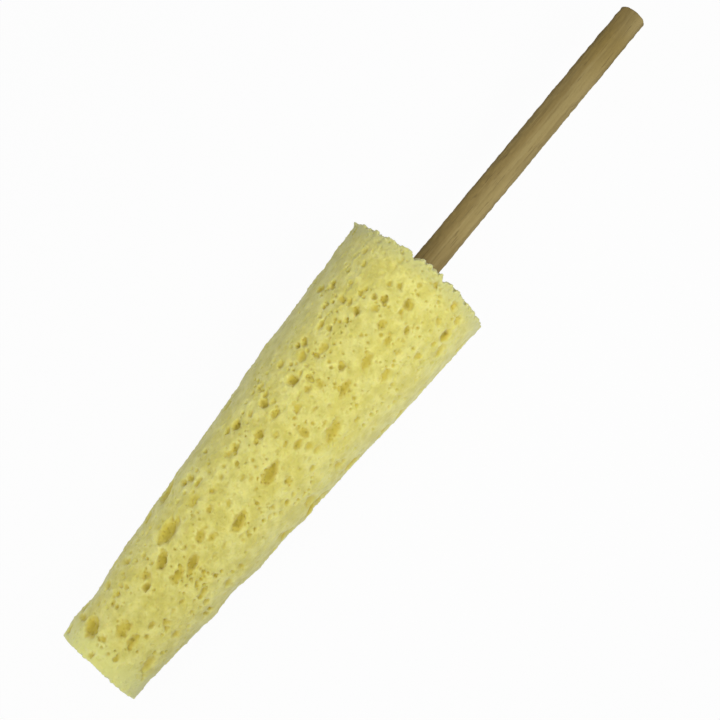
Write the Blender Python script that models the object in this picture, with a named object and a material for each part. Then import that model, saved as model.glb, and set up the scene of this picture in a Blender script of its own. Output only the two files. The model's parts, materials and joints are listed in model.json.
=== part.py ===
"""Bottle sponge: a tapered, open-pored sponge glued round the end of a wooden dowel.

The tool is built along its own axis, from the sponge's tip face at x = 0 to the free end of the
dowel, and is then laid on its side: the sponge rests on the level z = 0, the dowel points along
+X and rises a little, because the thick end of the sponge is next to it.
Lengths are in metres, angles in degrees. An angle "around" is measured about the tool's axis,
from straight up, and grows towards -Y.
"""

import math
import random
from collections import namedtuple

import bmesh
import bpy
from mathutils import Matrix, Vector

MM = 0.001

# The sponge
SPONGE_LENGTH = 208 * MM
TIP_RADIUS = 18.6 * MM
BUTT_RADIUS = 34 * MM
BARREL = 1.0 * MM  # swelling of the sides at mid length
TIP_FLARE = 0.5 * MM  # the cut spreads the very tip by this much
TIP_FLARE_REACH = 25 * MM  # and has died away at this distance from it
TIP_SWAY = 1.7 * MM  # the hand-cut tip lies this far towards -Y from the dowel's line
WAVER = 0.3 * MM  # unevenness of the cut sides
WAVER_WAVES = ((2, 9.0, 1.0), (3, -17.0, 0.7))  # waves around, twist along in radians, weight
RIM_EASE = 1.3 * MM  # rounding of both cut rims
REST_FLAT = 1.2 * MM  # depth of the flat that the soft side takes where it lies

# The dowel
DOWEL_RADIUS = 6 * MM
HANDLE_LENGTH = 147 * MM  # the free part, outside the sponge
TIP_CUSHION = 50 * MM  # soft sponge beyond the dowel's buried end
DOWEL_EASE = 0.9 * MM  # rounding of the dowel's two ends

# The glue, and the clearance left on each side of it
GLUE_FILM = 0.6 * MM
SEAT_GAP = 0.3 * MM
GLUE_SETBACK = 5 * MM  # from the sponge's butt face to the mouth of the glue

# The pores: a pore is an oval hollow, longest along the tool
PHOTO_SIDE = 10.0  # the photographed side looks this far round from straight up
PHOTO_HALF_WIDTH = 72.0  # how far round from there pores can be seen
PORE_LEAN = 9.0  # the long pores lean this much from the tool's axis
PORE_DEPTH = 0.8  # half depth of a pore, as a share of its width
PORE_SINK = 0.15  # how far a pore's middle lies under the skin, as a share of its width
PORE_WALL = 1.0 * MM  # least foam left between two pores
PORE_MARGIN = 5 * MM  # plain foam at each end of the sides
LONGEST_PORE = 10 * MM  # the unseen pores' lengths and slimness lie between these
SHORTEST_PORE = 4.5 * MM
SLIMMEST_PORE = 0.45  # width over length
FULLEST_PORE = 0.72
PORE_TRIES = 250  # throws of the dice for the unseen pores of the sides
BUTT_PORES = 11
TIP_PORES = 5
LONGEST_END_PORE = 6 * MM
TIP_PLAIN_RADIUS = 6 * MM  # the middle of the tip face has no pore
PORE_SEED = 11
GOLDEN_ANGLE = 137.508

# The larger pores of the photographed side: distance from the tip and length and width in
# millimetres, and the angle from the middle of that side, about the sponge's middle, in degrees
SEEN_PORES = (
    # distance, angle, length, width
    (11.5, -38, 8.0, 5.5),
    (14.0, 46, 6.5, 4.5),
    (17.0, 10, 7.0, 3.6),
    (18.5, -7, 9.0, 5.0),
    (31.0, 26, 4.0, 3.0),
    (36.8, -15, 3.8, 3.0),
    (39.5, -56, 4.0, 4.0),
    (40.8, -23, 4.6, 3.2),
    (47.2, 2, 7.0, 4.0),
    (48.5, -20, 7.0, 4.0),
    (50.5, 34, 4.0, 2.8),
    (55.6, 7, 7.0, 3.0),
    (59.5, -33, 11.5, 5.5),
    (65.5, -4, 6.0, 4.0),
    (70.0, 4, 4.5, 3.0),
    (74.5, -31, 6.5, 4.5),
    (76.0, -14, 4.0, 2.8),
    (80.0, -49, 7.0, 5.0),
    (80.0, 14, 9.0, 4.0),
    (100.5, -29, 6.0, 3.8),
    (102.0, 10, 11.0, 4.5),
    (104.0, 24, 4.6, 2.8),
    (109.5, -44, 5.5, 3.4),
    (109.5, -18, 6.0, 3.0),
    (115.0, -7, 3.8, 2.8),
    (116.5, 10, 5.5, 3.0),
    (122.0, -34, 4.6, 4.0),
    (121.5, -20, 4.6, 3.0),
    (122.5, 7, 4.4, 3.6),
    (126.5, 30, 5.0, 4.0),
    (128.5, -8, 4.6, 2.8),
    (132.5, 24, 7.5, 4.0),
    (137.0, -25, 7.5, 4.4),
    (137.5, -11, 3.8, 2.6),
    (142.0, -5, 4.6, 3.2),
    (146.5, -33, 5.0, 3.4),
    (147.0, 10, 7.0, 3.6),
    (152.5, -39, 5.0, 3.6),
    (152.5, -1, 4.4, 3.0),
    (154.5, -20, 6.5, 3.4),
    (160.5, 11, 7.0, 3.6),
    (161.5, 29, 7.0, 3.6),
    (161.5, -34, 5.0, 3.0),
    (172.5, 12, 5.0, 3.0),
    (174.0, -19, 4.6, 3.2),
    (174.0, -34, 4.4, 3.6),
    (175.5, 2, 4.6, 3.2),
    (181.5, 20, 5.0, 2.8),
    (183.5, -8, 4.4, 3.2),
    (183.5, -17, 4.6, 3.0),
    (189.0, 8, 6.0, 3.6),
    (190.5, 48, 5.6, 3.8),
)

# Facets
SPONGE_SEGMENTS = 36
SIDE_STATIONS = 14
EASE_STEPS = 2
DOWEL_SEGMENTS = 32
PORE_SEGMENTS = 10
PORE_RINGS = 4
SMOOTH_UP_TO = 35.0  # faces that meet at less than this are shaded as one surface
CORNER_FROM = 60.0  # edges sharper than this are eased
WELD = 0.01 * MM
OVERCUT = 5 * MM  # how far a cutter runs past the face that it opens

# What follows from the sizes above
TILT = math.atan2(BUTT_RADIUS - TIP_RADIUS, SPONGE_LENGTH)
LIFT = (TIP_RADIUS + BARREL) * math.cos(TILT) - REST_FLAT
DOWEL_INNER_END = TIP_CUSHION
DOWEL_OUTER_END = SPONGE_LENGTH + HANDLE_LENGTH
GLUE_INNER_RADIUS = DOWEL_RADIUS + SEAT_GAP
GLUE_OUTER_RADIUS = GLUE_INNER_RADIUS + GLUE_FILM
BORE_RADIUS = GLUE_OUTER_RADIUS + SEAT_GAP
MOUTH_RADIUS = DOWEL_RADIUS + SEAT_GAP
GLUE_HOLLOW = DOWEL_INNER_END - SEAT_GAP
GLUE_FLOOR = GLUE_HOLLOW - GLUE_FILM
GLUE_MOUTH = SPONGE_LENGTH - GLUE_SETBACK
BORE_FLOOR = GLUE_FLOOR - SEAT_GAP
BORE_SHOULDER = GLUE_MOUTH + SEAT_GAP

ALONG = Vector((1.0, 0.0, 0.0))

# Where a pore is, the way that it is longest, the way out of the foam, and its size
Pore = namedtuple("Pore", "at long_axis normal length width")


def clear_scene():
    for obj in list(bpy.data.objects):
        bpy.data.objects.remove(obj, do_unlink=True)


def make_material(name, colour, roughness):
    material = bpy.data.materials.new(name)
    material.use_nodes = True
    shader = material.node_tree.nodes["Principled BSDF"]
    shader.inputs["Base Color"].default_value = (*colour, 1.0)
    shader.inputs["Roughness"].default_value = roughness
    shader.inputs["Metallic"].default_value = 0.0
    return material


def make_object(name, bm, parent=None, material=None):
    """Turns a bmesh into a smooth-shaded object, carried by the tool's frame."""
    bmesh.ops.recalc_face_normals(bm, faces=bm.faces)
    mesh = bpy.data.meshes.new(name)
    bm.to_mesh(mesh)
    bm.free()
    mesh.shade_smooth()
    mesh.set_sharp_from_angle(angle=math.radians(SMOOTH_UP_TO))
    obj = bpy.data.objects.new(name, mesh)
    bpy.context.scene.collection.objects.link(obj)
    obj.parent = parent
    if material:
        mesh.materials.append(material)
    return obj


def make_cutter(name, bm, parent=None):
    cutter = make_object(name, bm, parent)
    cutter.hide_render = True
    cutter.display_type = "WIRE"
    return cutter


def cut(obj, cutter):
    boolean = obj.modifiers.new("Cut " + cutter.name, "BOOLEAN")
    boolean.operation = "DIFFERENCE"
    boolean.solver = "EXACT"
    boolean.object = cutter


def turned(profile):
    """A closed solid turned about the tool's axis from (distance, radius) points, ends on the axis."""
    bm = bmesh.new()
    points = [bm.verts.new((along, 0.0, radius)) for along, radius in profile]
    edges = [bm.edges.new(pair) for pair in zip(points, points[1:])]
    bmesh.ops.spin(
        bm,
        geom=points + edges,
        cent=(0.0, 0.0, 0.0),
        axis=ALONG,
        angle=math.tau,
        steps=DOWEL_SEGMENTS,
        use_merge=True,
    )
    bmesh.ops.remove_doubles(bm, verts=bm.verts, dist=WELD)
    return bm


def outward(around):
    turn = math.radians(around)
    return Vector((0.0, -math.sin(turn), math.cos(turn)))


def sponge_centre(along):
    """The middle of the sponge's section, which strays from the dowel's line towards the tip."""
    return Vector((along, -TIP_SWAY * (1.0 - along / SPONGE_LENGTH), 0.0))


def sponge_radius(along, around):
    """Radius of the skin: a straight taper, a slight barrel, the spread tip, and the waver of a hand
    cut, which dies away towards the side that the sponge lies on."""
    share = along / SPONGE_LENGTH
    turn = math.radians(around)
    taper = TIP_RADIUS + (BUTT_RADIUS - TIP_RADIUS) * share
    barrel = BARREL * 4.0 * share * (1.0 - share)
    flare = TIP_FLARE * max(0.0, 1.0 - along / TIP_FLARE_REACH) ** 2
    waver = sum(weight * math.sin(waves * turn + twist * share) for waves, twist, weight in WAVER_WAVES)
    return taper + barrel + flare + WAVER * waver * (1.0 + math.cos(turn)) / 2.0


def skin_point(along, around):
    return sponge_centre(along) + outward(around) * sponge_radius(along, around)


def sponge_stations():
    """Distances from the tip where the sponge has a ring of points, each with how far that ring is
    drawn in: quarter rounds at both rims, and even steps between them."""
    eased = []
    for i in range(EASE_STEPS + 1):
        turn = math.radians(90.0 * i / EASE_STEPS)
        eased.append((RIM_EASE * (1.0 - math.cos(turn)), RIM_EASE * (1.0 - math.sin(turn))))
    side = SPONGE_LENGTH - 2.0 * RIM_EASE
    even = [(RIM_EASE + side * i / SIDE_STATIONS, 0.0) for i in range(1, SIDE_STATIONS)]
    return eased + even + [(SPONGE_LENGTH - along, drawn) for along, drawn in reversed(eased)]


def sponge_body():
    """The uncut sponge, lofted through its rings."""
    bm = bmesh.new()
    rings = []
    for along, drawn in sponge_stations():
        ring = []
        for i in range(SPONGE_SEGMENTS):
            around = 360.0 * i / SPONGE_SEGMENTS
            ring.append(bm.verts.new(skin_point(along, around) - outward(around) * drawn))
        rings.append(ring)
    for near, far in zip(rings, rings[1:]):
        for i in range(SPONGE_SEGMENTS):
            j = (i + 1) % SPONGE_SEGMENTS
            bm.faces.new((near[i], near[j], far[j], far[i]))
    bm.faces.new(rings[0])
    bm.faces.new(rings[-1])
    bmesh.ops.triangulate(bm, faces=bm.faces)
    return bm


def side_pore(along, around, length, width):
    """A pore in the sides, leaning from the tool's axis along the skin."""
    lean = math.radians(PORE_LEAN)
    normal = outward(around)
    long_axis = ALONG * math.cos(lean) + normal.cross(ALONG) * math.sin(lean)
    return Pore(skin_point(along, around), long_axis, normal, length, width)


def on_rest_strip(along, around):
    half_width = math.sqrt(2.0 * BUTT_RADIUS * REST_FLAT) + LONGEST_PORE / 2.0
    return math.radians(abs(around - 180.0)) * sponge_radius(along, around) < half_width


def seen_pores():
    for distance, angle, length, width in SEEN_PORES:
        yield side_pore(distance * MM, PHOTO_SIDE + angle, length * MM, width * MM)


def unseen_pores():
    """Pores for the sides that the photograph doesn't show, thrown at random, with none on the strip
    that the sponge lies on."""
    dice = random.Random(PORE_SEED)
    for _ in range(PORE_TRIES):
        along = dice.uniform(0.0, SPONGE_LENGTH)
        around = dice.uniform(0.0, 360.0)
        length = dice.uniform(SHORTEST_PORE, LONGEST_PORE)
        width = length * dice.uniform(SLIMMEST_PORE, FULLEST_PORE)
        from_photo_side = abs((around - PHOTO_SIDE + 180.0) % 360.0 - 180.0)
        if from_photo_side > PHOTO_HALF_WIDTH and not on_rest_strip(along, around):
            yield side_pore(along, around, length, width)


def end_pores(face_along, facing, count, inner, outer):
    """Pores in one of the cut ends, on a spiral between an inner and an outer radius."""
    dice = random.Random(PORE_SEED + count)
    for i in range(count):
        around = i * GOLDEN_ANGLE
        radius = math.sqrt(inner**2 + (outer**2 - inner**2) * (i + 0.5) / count)
        at = sponge_centre(face_along) + outward(around) * radius
        length = dice.uniform(SHORTEST_PORE, LONGEST_END_PORE)
        width = length * FULLEST_PORE
        yield Pore(at, outward(around + 90.0), ALONG * facing, length, width)


def butt_pores():
    half = LONGEST_END_PORE / 2.0
    inner = MOUTH_RADIUS + PORE_WALL + half
    return end_pores(SPONGE_LENGTH, 1.0, BUTT_PORES, inner, BUTT_RADIUS - RIM_EASE - half)


def tip_pores():
    half = LONGEST_END_PORE / 2.0
    return end_pores(0.0, -1.0, TIP_PORES, TIP_PLAIN_RADIUS + half, TIP_RADIUS - RIM_EASE - half)


def reach(pore, direction):
    """How far an oval pore reaches from its middle in a direction along the skin."""
    along = direction.dot(pore.long_axis)
    across = math.sqrt(max(0.0, 1.0 - along * along))
    return 1.0 / math.hypot(2.0 * along / pore.length, 2.0 * across / pore.width)


def wall_between(pore, other):
    apart = other.at - pore.at
    if apart.length < PORE_WALL:
        return 0.0
    direction = apart.normalized()
    return apart.length - reach(pore, direction) - reach(other, direction)


def clear_of_rims(pore):
    room = PORE_MARGIN + pore.length / 2.0
    return room < pore.at.x < SPONGE_LENGTH - room


def all_pores():
    """Every pore. One is left out where it would run off the sides, or would leave too thin a wall
    to one that is already there."""
    sides = [pore for pore in (*seen_pores(), *unseen_pores()) if clear_of_rims(pore)]
    placed = []
    for pore in (*sides, *butt_pores(), *tip_pores()):
        if all(wall_between(pore, other) > PORE_WALL for other in placed):
            placed.append(pore)
    return placed


def pores_cutter():
    """Stretched balls whose middles lie a little under the skin."""
    bm = bmesh.new()
    for pore in all_pores():
        across = pore.normal.cross(pore.long_axis).normalized()
        turn = Matrix((pore.long_axis, across, pore.normal)).transposed().to_4x4()
        half_sizes = (pore.length / 2.0, pore.width / 2.0, PORE_DEPTH * pore.width, 1.0)
        place = Matrix.Translation(pore.at - pore.normal * (PORE_SINK * pore.width))
        bmesh.ops.create_uvsphere(
            bm,
            u_segments=PORE_SEGMENTS,
            v_segments=PORE_RINGS,
            radius=1.0,
            matrix=place @ turn @ Matrix.Diagonal(half_sizes),
        )
    return bm


def bore_cutter():
    """The blind hole for the dowel: wide where the glue lies, and close on the dowel at the mouth."""
    past_the_face = SPONGE_LENGTH + OVERCUT
    return turned(
        [
            (BORE_FLOOR, 0.0),
            (BORE_FLOOR, BORE_RADIUS),
            (BORE_SHOULDER, BORE_RADIUS),
            (BORE_SHOULDER, MOUTH_RADIUS),
            (past_the_face, MOUTH_RADIUS),
            (past_the_face, 0.0),
        ]
    )


def rest_cutter():
    """Everything below the surface that the tool lies on, in world space."""
    bm = bmesh.new()
    depth = 2.0 * BUTT_RADIUS
    size = Matrix.Diagonal((2.0 * DOWEL_OUTER_END, 4.0 * BUTT_RADIUS, depth, 1.0))
    bmesh.ops.create_cube(bm, size=1.0, matrix=Matrix.Translation((0.0, 0.0, -depth / 2.0)) @ size)
    return bm


def make_sponge_head(frame):
    foam = make_material("sponge foam", (0.72, 0.68, 0.2), 0.95)
    sponge = make_object("sponge_head", sponge_body(), frame, foam)
    cut(sponge, make_cutter("pores_cutter", pores_cutter(), frame))
    cut(sponge, make_cutter("bore_cutter", bore_cutter(), frame))
    cut(sponge, make_cutter("rest_cutter", rest_cutter()))
    return sponge


def make_dowel_handle(frame):
    wood = make_material("dowel wood", (0.3, 0.22, 0.09), 0.7)
    profile = [
        (DOWEL_INNER_END, 0.0),
        (DOWEL_INNER_END, DOWEL_RADIUS),
        (DOWEL_OUTER_END, DOWEL_RADIUS),
        (DOWEL_OUTER_END, 0.0),
    ]
    dowel = make_object("dowel_handle", turned(profile), frame, wood)
    easing = dowel.modifiers.new("Eased ends", "BEVEL")
    easing.limit_method = "ANGLE"
    easing.angle_limit = math.radians(CORNER_FROM)
    easing.width = DOWEL_EASE
    easing.segments = EASE_STEPS
    return dowel


def make_glue_sleeve(frame):
    """The cured glue: a thin cup round the buried part of the dowel."""
    glue = make_material("cured glue", (0.75, 0.66, 0.42), 0.35)
    profile = [
        (GLUE_FLOOR, 0.0),
        (GLUE_FLOOR, GLUE_OUTER_RADIUS),
        (GLUE_MOUTH, GLUE_OUTER_RADIUS),
        (GLUE_MOUTH, GLUE_INNER_RADIUS),
        (GLUE_HOLLOW, GLUE_INNER_RADIUS),
        (GLUE_HOLLOW, 0.0),
    ]
    return make_object("glue_sleeve", turned(profile), frame, glue)


def make_tool_frame():
    """The empty that carries the tool, leaning so that the sponge's lower side is level."""
    frame = bpy.data.objects.new("tool_frame", None)
    bpy.context.scene.collection.objects.link(frame)
    frame.rotation_euler = (0.0, -TILT, 0.0)
    return frame


def lay_down(frame, pieces):
    """Puts the middle of the tool's length and width over the origin, and its lower side on z = 0."""
    lean = frame.rotation_euler.to_matrix()
    points = [lean @ vert.co for piece in pieces for vert in piece.data.vertices]
    middles = []
    for axis in range(2):
        reached = [point[axis] for point in points]
        middles.append((min(reached) + max(reached)) / 2.0)
    frame.location = (-middles[0], -middles[1], LIFT)


def main():
    clear_scene()
    frame = make_tool_frame()
    sponge = make_sponge_head(frame)
    dowel = make_dowel_handle(frame)
    make_glue_sleeve(frame)
    lay_down(frame, (sponge, dowel))


main()
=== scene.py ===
"""The looks of a bottle sponge: a tapered sponge full of pores, glued round a wooden dowel.

Pieces are modelled along the tool's own axis, from the sponge's tip face at x = 0 to the free end
of the dowel, and are then laid down where the frame has them. Lengths are in metres and angles in
degrees. An angle "around" is measured about the tool's axis, from straight up, towards -Y.
"""

import contextlib
import json
import math
import random
from collections import namedtuple

import bmesh
import bpy
import numpy as np
from mathutils import Matrix, Vector, noise
from mathutils.bvhtree import BVHTree


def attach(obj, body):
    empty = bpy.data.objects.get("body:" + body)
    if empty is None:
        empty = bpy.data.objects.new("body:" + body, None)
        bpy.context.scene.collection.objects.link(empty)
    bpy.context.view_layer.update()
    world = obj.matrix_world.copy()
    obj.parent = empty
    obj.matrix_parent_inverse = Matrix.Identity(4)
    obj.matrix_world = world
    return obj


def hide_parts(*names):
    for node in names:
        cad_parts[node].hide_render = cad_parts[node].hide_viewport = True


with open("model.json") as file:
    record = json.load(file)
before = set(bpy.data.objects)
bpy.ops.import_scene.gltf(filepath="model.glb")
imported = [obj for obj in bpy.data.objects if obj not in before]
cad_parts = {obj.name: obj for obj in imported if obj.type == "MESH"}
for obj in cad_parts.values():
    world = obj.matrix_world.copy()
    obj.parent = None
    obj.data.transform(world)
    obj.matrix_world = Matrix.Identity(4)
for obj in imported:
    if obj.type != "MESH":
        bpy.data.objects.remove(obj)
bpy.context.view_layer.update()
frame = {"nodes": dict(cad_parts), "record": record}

MM = 0.001

# Vertices nearer to a place than this are taken to be there
SAME_PLACE = 0.01 * MM

# The sponge, as in the solids
SPONGE_LENGTH = 208 * MM
TIP_RADIUS = 18.6 * MM
BUTT_RADIUS = 34 * MM
BARREL = 1.0 * MM
TIP_FLARE = 0.5 * MM
TIP_FLARE_REACH = 25 * MM
TIP_SWAY = 1.7 * MM

# How the cut ends differ from the solid's: crisper rims, a slope across each end, and a bulge (+) or
# a hollow (-), given by its height, where its middle is sideways, and its reach
RIM_EASE = 0.3 * MM
TIP_SKEW = -0.039
BUTT_SKEW = -0.001
TIP_BULGE = (-0.9 * MM, 0.0, 11 * MM)
BUTT_BULGE = (1.8 * MM, -10 * MM, 16 * MM)

# The dowel and the hole that it sits in, as in the solids
DOWEL_RADIUS = 6 * MM
HANDLE_LENGTH = 147 * MM
TIP_CUSHION = 50 * MM
DOWEL_EASE = 0.9 * MM
BORE_RADIUS = 7.2 * MM
MOUTH_RADIUS = 6.3 * MM
BORE_FLOOR = 48.8 * MM
BORE_SHOULDER = 203.3 * MM

# The tool's place: its axis ends at the mount on the dowel's free end
HANDLE_END = next(m for m in frame["record"]["mounts"] if m["name"] == "handle_end")
ALONG = Vector(HANDLE_END["axis"])
ACROSS = Vector((0.0, 1.0, 0.0))
TOOL_ORIGIN = Vector(HANDLE_END["pos_m"]) - ALONG * (SPONGE_LENGTH + HANDLE_LENGTH)
TOOL_TURN = Matrix((ALONG, ACROSS, ALONG.cross(ACROSS))).transposed().to_4x4()
TOOL_PLACE = Matrix.Translation(TOOL_ORIGIN) @ TOOL_TURN

# How finely the foam is made, and the seed of all its random draws
BLANK_VOXEL = 0.5 * MM
FOAM_VOXEL = 0.36 * MM
SEED = 20

# The photographed side: where its middle is around the tool, and how far to each side pores show
PHOTO_SIDE = 10.0
PHOTO_HALF_WIDTH = 74.0

# Where the hand-cut sides swell (+) or are hollow (-): distance from the tip, angle from the middle
# of the photographed side, reach and height, in millimetres and degrees
SWELLS = (
    (1, -80, 2.5, 0.3), (207.5, -82, 1.5, 1.5), (1, 80, 2.5, -0.4), (8, -85, 7, 0.9),
    (21, -85, 6, -0.8), (40, -85, 8, 0.3), (62, -85, 4, 0.5), (80, -85, 4, 0.4), (131, -85, 4, 0.6),
    (144, -85, 6, 1.0), (203, -85, 5, -0.9), (8, 80, 5, -0.5), (47, 80, 5, 0.9), (58, 80, 7, -0.9),
    (73, 80, 5, 0.4), (92, 80, 3, -0.8), (101, 80, 6, 0.5), (111, 80, 3, -0.7), (135, 80, 14, -0.3),
)

# The pores of the photographed side, read one by one: distance from the tip, angle from the middle of
# that side, length and width, in millimetres and degrees
DEEP_PORES = (
    (12, -40, 8, 6.5), (24.5, -29, 2, 2), (27.5, 15, 3, 2), (38, -16, 4, 3), (39, -8, 2, 1.5),
    (50, -20, 7.5, 4), (51.5, 15, 2, 1.5), (57, 6, 7.5, 3.5), (59, 33, 2, 2), (60.5, -34, 11, 6),
    (81.5, 14, 9, 4), (84, -23, 2, 2), (91.5, 15, 2, 1.5), (98, -19, 2, 1.5), (99.5, 38, 2.5, 2),
    (104, 8, 11, 4.5), (110.5, -44, 4.5, 3.5), (113, -20, 4.5, 3.5), (124, -34, 4, 4),
    (131, 26.5, 3, 2), (138.5, -26, 5, 4), (151, -42, 2.5, 2.5), (155, -2, 3.5, 2.5),
    (164, -28, 2.5, 2), (176, -20, 3.5, 3), (177.5, -28, 3, 2), (180.5, -51, 2, 2.5),
    (183, 18, 4, 2.5), (185, -16, 3, 2.5), (186.5, -9, 3.5, 3), (191, 6, 5, 3), (192.5, 46, 5.5, 4),
    (204.5, 13, 3.5, 2),
)
OPEN_PORES = (
    (9, 8, 3.5, 2), (18, -5, 4, 3.5), (18, 10, 7, 3), (21.5, -4, 4, 3), (24.5, -36, 3, 2),
    (28.5, -38, 2.5, 2.5), (30.5, 31, 2, 2), (41.5, -24, 5, 3.5), (42.5, 23, 2.5, 2),
    (44.5, 61, 2, 3.5), (47, -40, 2.5, 2), (47, 60, 2, 3.5), (49.5, 2, 8, 4),
    (51.5, 34, 3.5, 2.5), (60, -10, 3, 2), (67, -5, 6, 4), (71.5, -22, 2.5, 1.5), (74.5, -30, 2.5, 2),
    (76.5, -35, 2, 2), (77.5, -14, 3.5, 2.5), (79.5, -56, 3, 3.5), (82.5, -52, 3.5, 4),
    (83, -41, 4, 2.5), (88, 32, 2, 1.5), (90.5, -24, 3, 2), (94.5, -56, 1.5, 2.5), (94.5, -28, 2, 2),
    (94.5, 30, 2, 2), (95.5, -8, 3, 2), (95.5, 7, 2, 1.5), (97.5, -2, 3, 1.5), (103, -30, 5, 3.5),
    (106, 24, 4, 2.5), (106.5, -48, 3.5, 2.5), (110, -18, 3, 2.5), (115.5, -19, 2, 1.5),
    (117, 2, 3, 2), (117.5, -38, 3, 2), (117.5, -29, 2, 1.5), (120, 10, 5, 3), (123.5, -20, 4.5, 3),
    (125, 2, 2.5, 2), (125.5, 8, 5, 4), (127.5, -38, 3, 2.5), (133, 26, 11.5, 4.5),
    (130.5, -8, 4.5, 2.5), (132.5, 16, 4.5, 1.5), (134.5, -14, 3, 1.5), (139.5, -12, 3.5, 2.5),
    (142.5, -24, 3.5, 2), (143.5, -16, 3.5, 2.5), (148.5, -32, 5.5, 3.5), (149, 10, 7, 3.5),
    (152.5, -22, 3, 2.5), (153.5, -38, 3.5, 3), (156.5, 2, 2, 1.5), (163, -36, 4.5, 2.5),
    (163, 10, 7, 3.5), (170, -44, 2.5, 2.5), (174.5, 12, 4.5, 2.5), (175.5, -60, 3.5, 4),
    (176.5, -34, 3.5, 3.5), (177.5, 10, 2, 2), (178, 1, 4.5, 3), (183, -26, 3.5, 2.5),
    (185.5, -24, 3, 2), (186, 20, 2.5, 1.5), (187, 6, 3, 2.5), (187.5, -46, 2, 2),
    (193, -13, 3, 2), (194.5, -6, 3, 2.5), (200, 4, 2.5, 2), (204, -40, 2, 2),
)
FAINT_PORES = (
    (3.5, -18, 3.5, 3), (11.5, -18, 3.5, 3), (12.5, -62, 3.5, 5.5), (15, 45, 8, 4.5),
    (19.5, -8, 9, 5.5), (28.5, -60, 3.5, 4), (31, 46, 3.5, 3.5), (32, -42, 2.5, 2), (32, 25, 4, 3),
    (32.5, -4, 3.5, 1.5), (33, -34, 3, 2.5), (36, -48, 2, 2.5), (38, 22, 2.5, 2),
    (40.5, -56, 3.5, 4.5), (48.5, 46, 2.5, 2.5), (49, 36, 3, 2.5), (56, -34, 5, 4),
    (56, 22, 3.5, 2), (60, 52, 4, 4), (64.5, 18, 3, 2), (68.5, 49, 2.5, 3.5), (70, 4, 5, 3),
    (70.5, 18, 3, 2), (71, -6, 3, 2), (76.5, -32, 6.5, 5), (77.5, 25, 3, 2), (84.5, -4, 4, 2.5),
    (88.5, 69, 4.5, 7), (90.5, 34, 3, 1.5), (99.5, -32, 3.5, 4), (106.5, 60, 5.5, 6),
    (107, 26, 3, 2.5), (112.5, 0, 3.5, 1.5), (116.5, 34, 3, 2.5), (117, -9, 3.5, 2.5),
    (122, 18, 4, 3), (123.5, 25, 3.5, 2.5), (124.5, 55, 3.5, 4.5), (126.5, -28, 2.5, 2),
    (128, -17, 3, 1.5), (129.5, -47, 2.5, 2.5), (134.5, 2, 3.5, 2), (139.5, 10, 3, 2),
    (141, -44, 3.5, 3), (144, -6, 4, 3), (156, -22, 7, 3.5), (164, 28, 7, 4), (170.5, -22, 3, 2),
    (174.5, 24, 2.5, 2), (178.5, -50, 2.5, 3), (178.5, 39, 3.5, 3.5), (181.5, -10, 3.5, 3.5),
    (184, -37, 2.5, 2.5), (187, 42, 2.5, 2), (187, 53, 7, 4.5), (191.5, 8, 6, 3.5), (193, -38, 3, 2.5),
    (194.5, 32, 3.5, 2.5), (198, -45, 3.5, 2.5), (200, -17, 3, 1.5), (200.5, 45, 4.5, 3),
    (203.5, -16, 4, 2), (203.5, 34, 5, 4),
)

# How the pores lean from the tool's axis, how much wider a pore is than its listed width, because its
# edge is a slope, and the size of the raggedness of that edge
PORE_LEAN = 12.0
PORE_SPREAD = 1.2
RAGGED_SIZE = 1.5 * MM

# Each kind of pore: its depth as a share of its width, how much of it is floor, how far it leans
# under its wall, and how ragged its edge is
DEEP = (0.62, 0.3, 0.1, 0.15)
OPEN = (0.45, 0.25, 0.0, 0.35)
FAINT = (0.33, 0.2, 0.0, 0.45)

# A pore wider than this is as deep as one of this width
DEEPEST_WIDTH = 3.6 * MM

# The pores that the photograph doesn't show: how many the other sides have, and an end as large as
# the butt
UNSEEN_PORES = 260
END_PORES = 60

# The two cut ends: place, way that they face, radius, count of small tears in the rim, and the depth
# of a tear as a share of its width
ENDS = (
    (0.0, -1.0, TIP_RADIUS, 14, 0.3),
    (SPONGE_LENGTH, 1.0, BUTT_RADIUS, 110, 0.8),
)
TEAR_RAGGED = 0.3

# The larger notches in the butt's rim: angle around, width and depth, in degrees and millimetres
RIM_NOTCHES = (
    (0.0, 4.2, 2.8),
    (25.3, 3.2, 2.8),
    (-17.0, 3.5, 0.8),
    (-34.0, 3.0, 0.8),
    (45.0, 3.0, 0.8),
)
NOTCH_LENGTH = 26 * MM

# The foam's own texture. Pits lie one to a cell and fill up to this share of it
PIT_CELL = 2.4 * MM
PIT_DEPTH = 1.15 * MM
SPECK_CELL = 1.3 * MM
CELL_FILL = 0.65
TUFT_SIZE = 1.7 * MM
LARGE_LUMP = 3.0 * MM
SMALL_LUMP = 1.1 * MM
PATCH_SIZE = 12 * MM

# The calmer strips along the two flanks: angle from the middle of the photographed side, reach, and
# how much of the texture they lack
CALM_ANGLE = 72.0
CALM_REACH = 22.0
CALM_SHARE = 0.6

# How far from a rim the painted shade in its pits fades, so that they look pale
PALE_RIM = 2.5 * MM

# The light that the sky casts, and the two lamps: name, place, aim, size, power and spread
SKY_LIGHT = 0.47
LAMPS = (
    ("lamp over the dowel", (0.0, -0.365, 0.62), (0.094, 0.0, 0.0), 0.29, 0.277, 54.6),
    ("lamp over the tip", (-0.45, 0.071, 0.52), (-0.17, 0.0, 0.0), 0.35, 0.109, 44.3),
)

# How much of the floor's paint gives way to white for the camera
FLOOR_WHITE = 0.965

Pore = namedtuple("Pore", "at normal long_axis length width depth floor slant ragged")


def deselect():
    bpy.ops.object.select_all(action="DESELECT")


@contextlib.contextmanager
def editing(obj):
    """Edit mode on one object, with nothing selected in it."""
    deselect()
    obj.select_set(True)
    bpy.context.view_layer.objects.active = obj
    bpy.ops.object.mode_set(mode="EDIT")
    bpy.ops.mesh.select_mode(type="VERT")
    bpy.ops.mesh.select_all(action="DESELECT")
    yield
    bpy.ops.object.mode_set(mode="OBJECT")


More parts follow.
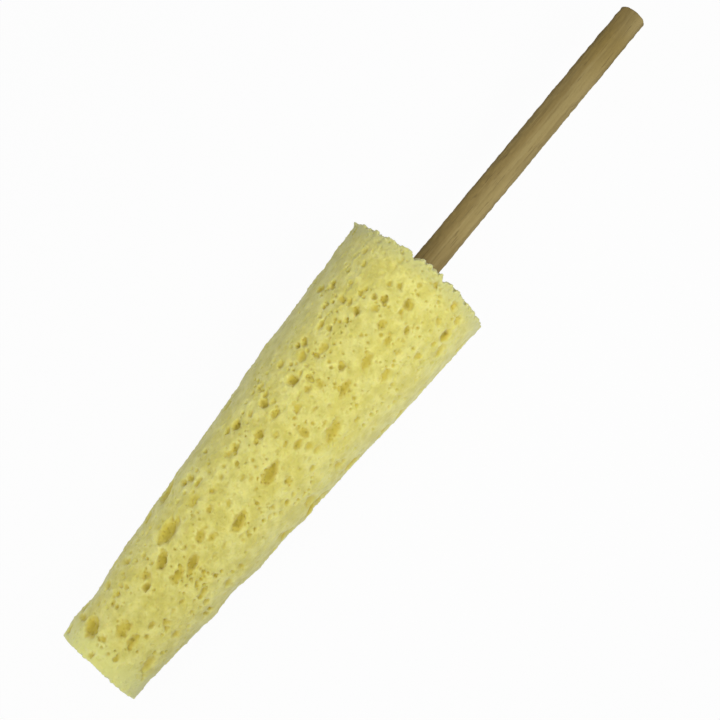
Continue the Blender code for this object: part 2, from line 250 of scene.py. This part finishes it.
def select_where(obj, wanted):
    """Selects, in edit mode, the vertices whose place is wanted."""
    bm = bmesh.from_edit_mesh(obj.data)
    for vert in bm.verts:
        vert.select = wanted(vert.co)
    bm.select_flush(True)
    bmesh.update_edit_mesh(obj.data)


def finish_with(obj, kind, **settings):
    """Adds a modifier and applies it."""
    modifier = obj.modifiers.new(kind.title(), kind)
    for name, value in settings.items():
        setattr(modifier, name, value)
    deselect()
    obj.select_set(True)
    bpy.context.view_layer.objects.active = obj
    bpy.ops.object.modifier_apply(modifier=modifier.name)


def roughen(obj, scale, height, detail=1):
    """Pushes the surface in and out by up to half a height, in lumps of about a scale across."""
    texture = bpy.data.textures.new("lumps", "CLOUDS")
    texture.noise_scale = scale
    texture.noise_depth = detail
    finish_with(obj, "DISPLACE", texture=texture, texture_coords="LOCAL", strength=height)


def lay_down(obj):
    """Moves a piece from the tool's own axis to the tool's place, and leaves its object at rest."""
    deselect()
    obj.select_set(True)
    bpy.context.view_layer.objects.active = obj
    obj.matrix_world = TOOL_PLACE
    bpy.ops.object.transform_apply(location=True, rotation=True, scale=True)


def places_of(mesh):
    places = np.empty(len(mesh.vertices) * 3, np.float32)
    mesh.vertices.foreach_get("co", places)
    return places.reshape(-1, 3).astype(float)


def normals_of(mesh):
    normals = np.empty(len(mesh.vertices) * 3, np.float32)
    mesh.vertex_normals.foreach_get("vector", normals)
    return normals.reshape(-1, 3).astype(float)


def put_places(mesh, places):
    mesh.vertices.foreach_set("co", places.astype(np.float32).ravel())
    mesh.update()


def smooth_step(low, high, values):
    share = np.clip((values - low) / (high - low), 0.0, 1.0)
    return share * share * (3.0 - 2.0 * share)


def outward(around):
    turn = math.radians(around)
    return Vector((0.0, -math.sin(turn), math.cos(turn)))


def sponge_centre(along):
    return Vector((along, -TIP_SWAY * (1.0 - along / SPONGE_LENGTH), 0.0))


def sponge_radius(along):
    share = along / SPONGE_LENGTH
    straight = TIP_RADIUS + (BUTT_RADIUS - TIP_RADIUS) * share
    flare = TIP_FLARE * max(0.0, 1.0 - along / TIP_FLARE_REACH) ** 2
    return straight + BARREL * 4.0 * share * (1.0 - share) + flare


def sponge_blank():
    """The sponge before its pores: a cone, cut into rings that are spread for the barrel and moved
    for the sway, with rounded rims and ends that aren't cut quite square."""
    bpy.ops.mesh.primitive_cone_add(
        vertices=128,
        radius1=TIP_RADIUS,
        radius2=BUTT_RADIUS,
        depth=SPONGE_LENGTH,
        location=(SPONGE_LENGTH / 2.0, 0.0, 0.0),
        rotation=(0.0, math.pi / 2.0, 0.0),
    )
    blank = bpy.context.object
    blank.name = "sponge"
    bpy.ops.object.transform_apply()
    stations = 26
    with editing(blank):
        for i in range(1, stations):
            at = SPONGE_LENGTH * i / stations
            bpy.ops.mesh.select_all(action="SELECT")
            bpy.ops.mesh.bisect(plane_co=(at, 0.0, 0.0), plane_no=(1.0, 0.0, 0.0))
        for i in range(stations + 1):
            at = SPONGE_LENGTH * i / stations
            select_where(blank, lambda place: abs(place.x - at) < SAME_PLACE)
            straight = TIP_RADIUS + (BUTT_RADIUS - TIP_RADIUS) * i / stations
            swell = sponge_radius(at) / straight
            bpy.ops.transform.resize(value=(1.0, swell, swell), center_override=(at, 0.0, 0.0))
            bpy.ops.transform.translate(value=(0.0, sponge_centre(at).y, 0.0))
        for at in (0.0, SPONGE_LENGTH):
            select_where(blank, lambda place: abs(place.x - at) < SAME_PLACE)
            bpy.ops.mesh.bevel(offset=RIM_EASE, segments=4)
    finish_with(blank, "REMESH", mode="VOXEL", voxel_size=BLANK_VOXEL)
    places = places_of(blank.data)
    share = places[:, 0] / SPONGE_LENGTH
    skew = TIP_SKEW * (1.0 - share) + BUTT_SKEW * share
    places[:, 0] -= skew * places[:, 1]
    near_tip = smooth_step(0.9, 1.0, 1.0 - share)
    near_butt = smooth_step(0.9, 1.0, share)
    places[:, 0] -= bulge(places, TIP_BULGE) * near_tip
    places[:, 0] += bulge(places, BUTT_BULGE) * near_butt
    put_places(blank.data, places + swells(places))
    roughen(blank, scale=14 * MM, height=1.0 * MM, detail=2)
    return blank


def bulge(places, settings):
    """How far an end stands out at each place, about a line across it."""
    height, middle, reach = settings
    across = (places[:, 1] - middle) / reach
    return height * np.exp(-across * across)


def swells(places):
    """How the hand-cut sides swell and sink, as moves of the places on them."""
    moves = np.zeros_like(places)
    for distance, angle, reach, height in SWELLS:
        along = distance * MM
        way = outward(PHOTO_SIDE + angle)
        at = sponge_centre(along) + way * sponge_radius(along)
        far = np.linalg.norm(places - np.array(at), axis=1) / (reach * MM)
        moves += np.outer(height * MM * np.exp(-far * far), np.array(way))
    return moves


def bore_shape():
    """The blind hole for the dowel: wide where the glue lies, close on the dowel at the mouth."""
    bpy.ops.mesh.primitive_cylinder_add(
        vertices=64,
        radius=BORE_RADIUS,
        depth=BORE_SHOULDER - BORE_FLOOR,
        location=((BORE_SHOULDER + BORE_FLOOR) / 2.0, 0.0, 0.0),
        rotation=(0.0, math.pi / 2.0, 0.0),
    )
    bore = bpy.context.object
    bpy.ops.object.transform_apply()
    out_through_butt = {"value": (12 * MM, 0.0, 0.0)}
    with editing(bore):
        select_where(bore, lambda place: place.x > BORE_SHOULDER - SAME_PLACE)
        bpy.ops.mesh.inset(thickness=BORE_RADIUS - MOUTH_RADIUS)
        bpy.ops.mesh.extrude_region_move(TRANSFORM_OT_translate=out_through_butt)
    return bore


def pore_depth(width, share):
    return share * min(width, DEEPEST_WIDTH)


def side_pore(along, around, length, width, kind, lean):
    """A pore in the long side, at a distance from the tip and an angle around."""
    share, floor, slant, ragged = kind
    normal = outward(around)
    turn = math.radians(lean)
    sideways = normal.cross(Vector((1.0, 0.0, 0.0)))
    long_axis = Vector((math.cos(turn), 0.0, 0.0)) + sideways * math.sin(turn)
    at = sponge_centre(along) + normal * sponge_radius(along)
    return Pore(at, normal, long_axis, length, width, pore_depth(width, share), floor, slant, ragged)


def seen_pores(dice):
    """The pores listed above, each with a lean of its own."""
    pores = []
    for kind, listed in ((DEEP, DEEP_PORES), (OPEN, OPEN_PORES), (FAINT, FAINT_PORES)):
        for distance, angle, length, width in listed:
            lean = PORE_LEAN + dice.uniform(-8.0, 8.0)
            sizes = (length * MM * PORE_SPREAD, width * MM * PORE_SPREAD)
            pores.append(side_pore(distance * MM, PHOTO_SIDE + angle, *sizes, kind, lean))
    return pores


def unseen_pores(dice):
    """The pores of the other sides: small ones are the commonest, and a few deep ones are long."""
    pores = []
    for _ in range(UNSEEN_PORES):
        along = dice.uniform(0.01, 0.99) * SPONGE_LENGTH
        around = PHOTO_SIDE + dice.uniform(PHOTO_HALF_WIDTH, 360.0 - PHOTO_HALF_WIDTH)
        kind = dice.choice((DEEP, OPEN, OPEN, FAINT, FAINT))
        length = dice.uniform(1.5, 2.6) ** 2 * PORE_SPREAD * MM
        if kind is DEEP and dice.random() < 0.25:
            length *= 1.6
        width = length * dice.uniform(0.5, 0.85)
        lean = PORE_LEAN + dice.uniform(-15.0, 15.0)
        pores.append(side_pore(along, around, length, width, kind, lean))
    return pores


def end_pores(dice):
    """The pores in the two cut ends."""
    pores = []
    for at_end, facing, radius, _, _ in ENDS:
        normal = Vector((facing, 0.0, 0.0))
        for _ in range(round(END_PORES * (radius / BUTT_RADIUS) ** 2)):
            around = dice.uniform(0.0, 360.0)
            out = radius * math.sqrt(dice.uniform(0.08, 0.9))
            middle = sponge_centre(at_end) + outward(around) * out
            length = dice.uniform(1.5, 2.5) ** 2 * PORE_SPREAD * MM
            width = length * dice.uniform(0.5, 0.9)
            share, floor, slant, ragged = dice.choice((DEEP, OPEN, FAINT))
            long_axis = outward(dice.uniform(0.0, 360.0))
            depth = pore_depth(width, share)
            pore = Pore(middle, normal, long_axis, length, width, depth, floor, slant, ragged)
            pores.append(pore)
    return pores


def rim_nicks(dice):
    """The tears that leave teeth along the two rims, as grooves across the rim. The small ones run
    towards the axis, and the larger notches down from the photographed side, to be seen from there."""
    nicks = []
    for at_end, facing, radius, count, share in ENDS:
        face = Vector((facing, 0.0, 0.0))
        for _ in range(count):
            around = dice.uniform(0.0, 360.0)
            rim = sponge_centre(at_end) + outward(around) * radius
            size = dice.uniform(1.1, 2.6) * MM
            sizes = (5.0 * size, size, share * size)
            nicks.append(Pore(rim, face, outward(around), *sizes, 0.0, 0.0, TEAR_RAGGED))
    butt_face = Vector((1.0, 0.0, 0.0))
    for around, width, depth in RIM_NOTCHES:
        rim = sponge_centre(SPONGE_LENGTH) + outward(around) * BUTT_RADIUS
        sizes = (NOTCH_LENGTH, width * MM, depth * MM)
        nicks.append(Pore(rim, butt_face, outward(PHOTO_SIDE), *sizes, 0.0, 0.0, TEAR_RAGGED))
    return nicks


def sub_holes(pores, dice):
    """Smaller, deeper holes in the floors of the larger pores."""
    holes = []
    for pore in pores:
        if pore.length < 6 * MM or pore.slant == 0.0:
            continue
        across = pore.normal.cross(pore.long_axis)
        for _ in range(dice.choice((1, 1, 2))):
            shift = pore.long_axis * dice.uniform(-0.3, 0.3) * pore.length
            shift += across * dice.uniform(-0.2, 0.2) * pore.width
            size = dice.uniform(0.3, 0.5) * min(pore.width, DEEPEST_WIDTH)
            depth = dice.uniform(0.2, 0.4) * size
            sizes = (1.3 * size, size, depth)
            hole = Pore(pore.at + shift, pore.normal, pore.long_axis, *sizes, 0.2, 0.2, TEAR_RAGGED)
            holes.append(hole)
    return holes


def pressed(places, pores, dice):
    """How each place on the skin moves as pores are pressed in. Where pores meet, the deepest
    counts."""
    order = np.argsort(places[:, 0])
    distances = places[order, 0]
    rough = noise_at(places, RAGGED_SIZE, seed=9.0)
    depths = np.zeros(len(places))
    moves = np.zeros_like(places)
    for pore in pores:
        lobes = [
            (count, dice.uniform(-0.2, 0.2) / count, dice.uniform(0.0, 6.28))
            for count in (2, 3, 4, 6)
        ]
        reach = 0.8 * max(pore.length, pore.width)
        first, last = np.searchsorted(distances, (pore.at.x - reach, pore.at.x + reach))
        near = order[first:last]
        offsets = places[near] - np.array(pore.at)
        close = np.linalg.norm(offsets, axis=1) < 1.3 * reach
        near = near[close]
        offsets = offsets[close]
        across = pore.normal.cross(pore.long_axis)
        one = offsets @ np.array(pore.long_axis) / (pore.length / 2.0)
        other = offsets @ np.array(across) / (pore.width / 2.0)
        turn = np.arctan2(other, one)
        # Rings are 0 in the pore's middle and 1 on its outline
        outline = 1.0 + sum(size * np.cos(count * turn + start) for count, size, start in lobes)
        rings = np.hypot(one, other) / (outline + pore.ragged * rough[near])
        under = -offsets @ np.array(pore.normal)
        # Only the skin by the pore moves, and not what lies deeper in the sponge
        near_skin = 1.0 - smooth_step(1.5 * pore.depth + MM, 3.0 * pore.depth + 3 * MM, under)
        depth = pore.depth * near_skin * (1.0 - smooth_step(pore.floor, 1.2, rings))
        deeper = depth > depths[near]
        near = near[deeper]
        depths[near] = depth[deeper]
        way = (across * -pore.slant - pore.normal).normalized()
        moves[near] = np.outer(depth[deeper], np.array(way))
    return moves


def cell_pits(places, scale, seed):
    """How deep each place lies in the small cells of the foam, from 0 to 1."""
    pits = np.empty(len(places))
    shift = Vector((seed, 0.0, 0.0))
    for i, place in enumerate(places):
        spot = Vector(place) / scale + shift
        near, middles = noise.voronoi(spot)
        size = CELL_FILL * (0.5 + 0.5 * noise.cell(middles[0] * 7.0 + shift))
        pits[i] = near[0] / max(size, 0.05)
    return 1.0 - smooth_step(0.3, 1.0, pits)


def noise_at(places, scale, seed):
    """Smooth noise at each place, in lumps of about a scale across."""
    shift = Vector((0.0, seed, 0.0))
    return np.array([noise.noise(Vector(place) / scale + shift) for place in places])


def cut_away(obj, cutter):
    finish_with(obj, "BOOLEAN", operation="DIFFERENCE", solver="MANIFOLD", object=cutter)
    bpy.data.objects.remove(cutter)


def depths_under(skin, places):
    """How far each place lies under the skin that the pores were pressed in."""
    depths = np.empty(len(places))
    for i, place in enumerate(places):
        place = Vector(place)
        nearest, normal, _, _ = skin.find_nearest(place)
        depths[i] = normal.dot(nearest - place)
    return depths


def rim_distances(places):
    """How far each place lies from the nearer of the two rims."""
    along, sideways, up = places.T
    from_butt = np.hypot(SPONGE_LENGTH - along, np.hypot(sideways, up) - BUTT_RADIUS)
    from_tip = np.hypot(along, np.hypot(sideways + TIP_SWAY, up) - TIP_RADIUS)
    return np.minimum(from_butt, from_tip)


def foam_texture(places, depths):
    """The foam's pits, specks, tufts and lumps: how far each place sinks, and how deep it looks. The
    material reads the second, in millimetres, and paints shade in pores and pits from it."""
    in_pore = smooth_step(0.2 * MM, 1.0 * MM, depths)
    patches = smooth_step(-0.25, 0.35, noise_at(places, PATCH_SIZE, seed=5.0))
    pits = cell_pits(places, PIT_CELL, seed=3.0) * (0.35 + 0.65 * patches) * (1.0 - 0.6 * in_pore)
    specks = cell_pits(places, SPECK_CELL, seed=8.0) * (0.25 + 0.3 * in_pore)
    large = noise_at(places, LARGE_LUMP, seed=1.0)
    small = noise_at(places, SMALL_LUMP, seed=2.0)
    tufts = smooth_step(0.2, 0.6, noise_at(places, TUFT_SIZE, seed=6.0))
    lumps = large * 0.22 + small * 0.2 + tufts * 0.34
    by_butt = np.exp(-np.maximum(SPONGE_LENGTH - places[:, 0], 0.0) / (2.0 * MM))
    lumps *= 1.0 + 0.6 * by_butt - 0.5 * in_pore
    angles = np.degrees(np.arctan2(-places[:, 1], places[:, 2])) - PHOTO_SIDE
    calm = 1.0 - CALM_SHARE * np.exp(-(((np.abs(angles) - CALM_ANGLE) / CALM_REACH) ** 2))
    pits *= PIT_DEPTH * calm
    sink = pits + (specks - lumps) * calm * MM
    pale = 0.9 * np.exp(-rim_distances(places) / PALE_RIM)
    # Painted shade: how deep a place looks, which the material turns into darker, more amber colour; it
    # fades near the rims
    painted_shade_depth = ((depths + pits) / MM + specks * in_pore) * (1.0 - pale)
    return sink, painted_shade_depth


def make_sponge(foam):
    """The sponge: pores are pressed into the blank, and the foam's texture is raised on it."""
    sponge = sponge_blank()
    dice = random.Random(SEED)
    places = places_of(sponge.data)
    places += pressed(places, rim_nicks(dice), dice)
    put_places(sponge.data, places)
    skin = BVHTree.FromObject(sponge, bpy.context.evaluated_depsgraph_get())
    pores = seen_pores(dice) + unseen_pores(dice) + end_pores(dice)
    moves = pressed(places, pores, dice) + pressed(places, sub_holes(pores, dice), dice)
    put_places(sponge.data, places + moves)
    cut_away(sponge, bore_shape())
    finish_with(sponge, "REMESH", mode="VOXEL", voxel_size=FOAM_VOXEL)
    places = places_of(sponge.data)
    sink, painted_shade_depth = foam_texture(places, depths_under(skin, places))
    put_places(sponge.data, places - normals_of(sponge.data) * sink[:, None])
    # The material paints shade in pores and pits from this attribute
    attribute = sponge.data.attributes.new("depth", "FLOAT", "POINT")
    attribute.data.foreach_set("value", painted_shade_depth.astype(np.float32))
    lay_down(sponge)
    places = places_of(sponge.data)
    lowest = 0.02 * MM
    places[:, 2] = np.maximum(places[:, 2], lowest)
    put_places(sponge.data, places)
    sponge.data.shade_smooth()
    sponge.data.materials.clear()
    sponge.data.materials.append(foam)
    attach(sponge, "root")
    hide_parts("sponge_head")


def make_dowel(wood):
    """The dowel: a rod with eased ends, a touch out of true as bought rod is."""
    length = SPONGE_LENGTH + HANDLE_LENGTH - TIP_CUSHION
    bpy.ops.mesh.primitive_cylinder_add(
        vertices=96,
        radius=DOWEL_RADIUS,
        depth=length,
        location=(TIP_CUSHION + length / 2.0, 0.0, 0.0),
        rotation=(0.0, math.pi / 2.0, 0.0),
    )
    dowel = bpy.context.object
    dowel.name = "dowel"
    bpy.ops.object.transform_apply()
    hidden_step = 4 * MM
    free_step = 0.7 * MM
    with editing(dowel):
        for end in (TIP_CUSHION, TIP_CUSHION + length):
            select_where(dowel, lambda place: abs(place.x - end) < SAME_PLACE)
            bpy.ops.mesh.bevel(offset=DOWEL_EASE, segments=5)
        at = TIP_CUSHION
        while at < TIP_CUSHION + length - 2 * MM:
            at += hidden_step if at < SPONGE_LENGTH - hidden_step else free_step
            bpy.ops.mesh.select_all(action="SELECT")
            bpy.ops.mesh.bisect(plane_co=(at, 0.0, 0.0), plane_no=(1.0, 0.0, 0.0))
    roughen(dowel, scale=22 * MM, height=0.16 * MM)
    places = places_of(dowel.data)
    along_grain = places * (0.7, 1.0, 1.0)
    dents = noise_at(along_grain, 2.0 * MM, seed=4.0)
    fuzz = noise_at(places, 1.3 * MM, seed=5.0)
    free = smooth_step(SPONGE_LENGTH, SPONGE_LENGTH + 4 * MM, places[:, 0])
    lift = (dents * 0.22 + fuzz * 0.14 + 0.1) * MM * free
    put_places(dowel.data, places + normals_of(dowel.data) * lift[:, None])
    lay_down(dowel)
    dowel.data.shade_smooth()
    dowel.data.materials.append(wood)
    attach(dowel, "root")
    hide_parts("dowel_handle")


class Varying:
    """A number that varies over a surface. Arithmetic on it adds the Math nodes that do it."""

    def __init__(self, finish, socket):
        self.finish = finish
        self.socket = socket

    def math(self, operation, *values):
        return self.finish.node("ShaderNodeMath", {"operation": operation}, *values)

    def __sub__(self, other):
        return self.math("SUBTRACT", self, other)

    def __rsub__(self, other):
        return self.math("SUBTRACT", other, self)

    def __mul__(self, other):
        return self.math("MULTIPLY", self, other)

    def __rmul__(self, other):
        return self.math("MULTIPLY", other, self)

    def between(self, low, high):
        """0 below low, 1 above high, and a smooth step from one to the other."""
        settings = {"interpolation_type": "SMOOTHSTEP"}
        return self.finish.node("ShaderNodeMapRange", settings, Value=self, From_Min=low, From_Max=high)


class Finish:
    """A material being made, and its nodes."""

    def __init__(self, name, **constants):
        self.material = bpy.data.materials.new(name)
        self.material.use_nodes = True
        self.tree = self.material.node_tree
        self.shader = self.tree.nodes["Principled BSDF"]
        for socket, value in constants.items():
            self.shader.inputs[socket.replace("_", " ")].default_value = value

    def feed(self, socket, value):
        if isinstance(value, Varying):
            self.tree.links.new(value.socket, socket)
        else:
            socket.default_value = value

    def node(self, kind, settings, *values, output=0, **named):
        made = self.tree.nodes.new(kind)
        for name, value in settings.items():
            setattr(made, name, value)
        for socket, value in zip(made.inputs, values):
            self.feed(socket, value)
        for name, value in named.items():
            self.feed(made.inputs[name.replace("_", " ")], value)
        return Varying(self, made.outputs[output])

    def places(self, stretch=(1.0, 1.0, 1.0)):
        """Places on the object, measured along the tool's axis, across it and up from it."""
        coordinates = self.node("ShaderNodeTexCoord", {}, output=3)
        angle = (0.0, math.atan2(-ALONG.z, ALONG.x), 0.0)
        settings = {"vector_type": "TEXTURE"}
        settled = self.node("ShaderNodeMapping", settings, coordinates, tuple(TOOL_ORIGIN), angle)
        return self.node("ShaderNodeMapping", {}, settled, Scale=stretch)

    def noise(self, places, scale, detail=2.0, roughness=0.5, distortion=0.0):
        return self.node(
            "ShaderNodeTexNoise",
            {},
            Vector=places,
            Scale=scale,
            Detail=detail,
            Roughness=roughness,
            Distortion=distortion,
        )

    def mix(self, share, one, other):
        made = self.tree.nodes.new("ShaderNodeMix")
        made.data_type = "RGBA"
        self.feed(made.inputs[0], share)
        for socket, colour in ((made.inputs[6], one), (made.inputs[7], other)):
            self.feed(socket, colour if isinstance(colour, Varying) else (*colour, 1.0))
        return Varying(self, made.outputs[2])

    def bump(self, height, distance, strength):
        return self.node("ShaderNodeBump", {}, Strength=strength, Distance=distance, Height=height)

    def surface(self, **fed):
        for name, value in fed.items():
            self.feed(self.shader.inputs[name.replace("_", " ")], value)
        return self.material


def foam_finish():
    """Pale yellow foam with a faint mottle and tiny cells, and painted shade in its pores: deeper and
    more amber the deeper they lie.
    """
    foam = Finish("foam", Roughness=0.95, Subsurface_Weight=0.8, Subsurface_Scale=4.2 * MM)
    foam.shader.inputs["Subsurface Radius"].default_value = (1.0, 0.9, 0.6)
    foam.shader.inputs["Specular IOR Level"].default_value = 0.15
    foam.shader.inputs["Sheen Weight"].default_value = 0.35
    foam.shader.inputs["Sheen Roughness"].default_value = 0.6
    places = foam.places()
    depth = foam.node("ShaderNodeAttribute", {"attribute_name": "depth"}, output=2)
    mottle = foam.noise(places, 130.0, 3.0, 0.6)
    grain = foam.noise(places, 260.0, 4.0, 0.6)
    specks = foam.noise(places, 520.0, 2.0, 0.6)
    skin = foam.mix(mottle.between(0.35, 0.65), (0.69, 0.63, 0.153), (0.75, 0.71, 0.232))
    skin = foam.mix((1 - grain.between(0.3, 0.55)) * 0.5, skin, (0.56, 0.52, 0.135))
    skin = foam.mix(grain.between(0.5, 0.7) * 0.5, skin, (0.88, 0.83, 0.28))
    skin = foam.mix(specks.between(0.5, 0.72) * 0.3, skin, (0.56, 0.51, 0.15))
    along = foam.node("ShaderNodeSeparateXYZ", {}, places, output=0)
    skin = foam.mix(1 - along.between(4 * MM, 14 * MM), skin, (0.75, 0.74, 0.265))
    by_butt = along.between(SPONGE_LENGTH - 8 * MM, SPONGE_LENGTH - 2 * MM)
    skin = foam.mix(by_butt, skin, (0.63, 0.61, 0.225))
    # Painted shade: the deeper a place lies in a pore or pit, the darker and more amber its colour
    painted_pore_shade = foam.mix(depth.between(1.1, 2.4), (0.65, 0.55, 0.085), (0.52, 0.42, 0.045))
    colour = foam.mix(depth.between(0.05, 1.25), skin, painted_pore_shade)
    cells = foam.noise(places, 900.0, 2.0, 0.6)
    return foam.surface(Base_Color=colour, Normal=foam.bump(cells, 0.2 * MM, 0.5))


def wood_finish():
    """Bare olive-brown wood: blotchy grain along the dowel and dark pores, with painted light and
    shade: one paler side, a darker band left of the middle, and painted shade where it leaves the
    sponge.
    """
    wood = Finish("dowel wood", Roughness=0.75)
    wood.shader.inputs["Specular IOR Level"].default_value = 0.2
    blotches = wood.noise(wood.places((0.07, 1.0, 1.0)), 330.0, 2.0, 0.5, 0.6)
    bands = wood.noise(wood.places((0.03, 1.0, 1.0)), 600.0, 2.0, 0.5, 0.3)
    fibres = wood.noise(wood.places((0.03, 1.0, 1.0)), 2200.0, 2.0, 0.6)
    dashes = wood.noise(wood.places((0.06, 1.0, 1.0)), 1500.0, 1.0, 0.5)
    along = wood.node("ShaderNodeSeparateXYZ", {}, wood.places(), output=0)
    across = wood.node("ShaderNodeSeparateXYZ", {}, wood.places(), output=1)
    # Painted light and shade across the dowel: paler on its right side, darker left of its middle, and
    # a little paler again at its left edge
    colour = wood.mix(across.between(-5.0 * MM, -3.0 * MM), (0.37, 0.285, 0.115), (0.325, 0.248, 0.094))
    colour = wood.mix(across.between(-2.0 * MM, 0.5 * MM), colour, (0.28, 0.203, 0.07))
    colour = wood.mix(across.between(1.5 * MM, 4.5 * MM), colour, (0.32, 0.228, 0.076))
    # Darker and browner over a band near the free end, fading back before the very end
    end_band_in = along.between(SPONGE_LENGTH + 105 * MM, SPONGE_LENGTH + 130 * MM)
    end_band_out = along.between(SPONGE_LENGTH + 130 * MM, SPONGE_LENGTH + 142 * MM)
    colour = wood.mix((end_band_in - end_band_out) * 0.55, colour, (0.28, 0.195, 0.048))
    # Painted shade: the dowel is darker where it leaves the sponge
    painted_shade_by_sponge = 1 - along.between(SPONGE_LENGTH + 6 * MM, SPONGE_LENGTH + 35 * MM)
    colour = wood.mix(painted_shade_by_sponge * 0.5, colour, (0.255, 0.18, 0.068))
    colour = wood.mix(blotches.between(0.4, 0.7) * 0.45, colour, (0.19, 0.135, 0.045))
    colour = wood.mix(bands.between(0.5, 0.75) * 0.3, colour, (0.40, 0.32, 0.14))
    colour = wood.mix(fibres.between(0.5, 0.8) * 0.3, colour, (0.15, 0.105, 0.035))
    colour = wood.mix(dashes.between(0.62, 0.74) * 0.5, colour, (0.12, 0.08, 0.03))
    return wood.surface(Base_Color=colour, Normal=wood.bump(fibres, 0.12 * MM, 0.5))


def glue_finish():
    glue = Finish("cured glue", Roughness=0.35)
    cloudy = glue.noise(glue.places(), 160.0, 2.0)
    return glue.surface(Base_Color=glue.mix(cloudy, (0.70, 0.58, 0.32), (0.80, 0.71, 0.47)))


def paint_glue():
    node = frame["nodes"]["glue_sleeve"]
    node.data.materials.clear()
    node.data.materials.append(glue_finish())


def make_floor():
    """A pale floor. The camera sees it near white, and it keeps the tool's shadow."""
    bpy.ops.mesh.primitive_plane_add(size=6.0, location=(0.0, 0.0, 0.0))
    floor = bpy.context.object
    floor.name = "floor"
    material = bpy.data.materials.new("pale floor")
    material.use_nodes = True
    nodes = material.node_tree.nodes
    links = material.node_tree.links
    paint = nodes["Principled BSDF"]
    paint.inputs["Base Color"].default_value = (0.55, 0.55, 0.55, 1.0)
    paint.inputs["Roughness"].default_value = 0.9
    glow = nodes.new("ShaderNodeEmission")
    glow.inputs["Strength"].default_value = 1.0
    path = nodes.new("ShaderNodeLightPath")
    seen = nodes.new("ShaderNodeMath")
    seen.operation = "MULTIPLY"
    seen.inputs[1].default_value = FLOOR_WHITE
    links.new(path.outputs["Is Camera Ray"], seen.inputs[0])
    mixed = nodes.new("ShaderNodeMixShader")
    links.new(seen.outputs[0], mixed.inputs[0])
    links.new(paint.outputs[0], mixed.inputs[1])
    links.new(glow.outputs[0], mixed.inputs[2])
    links.new(mixed.outputs[0], nodes["Material Output"].inputs["Surface"])
    floor.data.materials.append(material)


def make_lamp(name, place, aim, size, power, spread):
    lamp = bpy.data.lights.new(name, "AREA")
    lamp.shape = "DISK"
    lamp.size = size
    lamp.energy = power
    lamp.spread = math.radians(spread)
    holder = bpy.data.objects.new(name, lamp)
    holder.location = place
    holder.rotation_euler = (Vector(aim) - Vector(place)).to_track_quat("-Z", "Y").to_euler()
    bpy.context.scene.collection.objects.link(holder)


def light_the_tool():
    """Soft light from a pale sky, which the camera sees white, and two lamps."""
    world = bpy.data.worlds.new("studio")
    world.use_nodes = True
    nodes = world.node_tree.nodes
    links = world.node_tree.links
    lit = nodes["Background"]
    lit.inputs["Color"].default_value = (1.0, 1.0, 1.0, 1.0)
    lit.inputs["Strength"].default_value = SKY_LIGHT
    seen = nodes.new("ShaderNodeBackground")
    seen.inputs["Color"].default_value = (1.0, 1.0, 1.0, 1.0)
    seen.inputs["Strength"].default_value = 1.0
    path = nodes.new("ShaderNodeLightPath")
    mixed = nodes.new("ShaderNodeMixShader")
    links.new(path.outputs["Is Camera Ray"], mixed.inputs[0])
    links.new(lit.outputs[0], mixed.inputs[1])
    links.new(seen.outputs[0], mixed.inputs[2])
    links.new(mixed.outputs[0], nodes["World Output"].inputs["Surface"])
    bpy.context.scene.world = world
    for settings in LAMPS:
        make_lamp(*settings)


def place_camera():
    """The photograph's view: nearly straight down, and turned so that the dowel runs up and right."""
    azimuth = math.radians(309.395)
    elevation = math.radians(75.964)
    distance = 0.7835
    target = Vector((-0.011804, -0.003758, 0.03005))
    back = Vector((
        math.sin(azimuth) * math.cos(elevation),
        -math.cos(azimuth) * math.cos(elevation),
        math.sin(elevation),
    ))
    lens = bpy.data.cameras.new("camera")
    lens.lens = 93.9
    lens.sensor_width = 36.0
    lens.clip_start = 0.05
    lens.clip_end = 20.0
    camera = bpy.data.objects.new("camera", lens)
    camera.location = target + back * distance
    camera.rotation_euler = (-back).to_track_quat("-Z", "Y").to_euler()
    bpy.context.scene.collection.objects.link(camera)
    bpy.context.scene.camera = camera


def main():
    bpy.context.scene.view_settings.view_transform = "Standard"
    place_camera()
    light_the_tool()
    make_floor()
    make_sponge(foam_finish())
    make_dowel(wood_finish())
    paint_glue()


main()
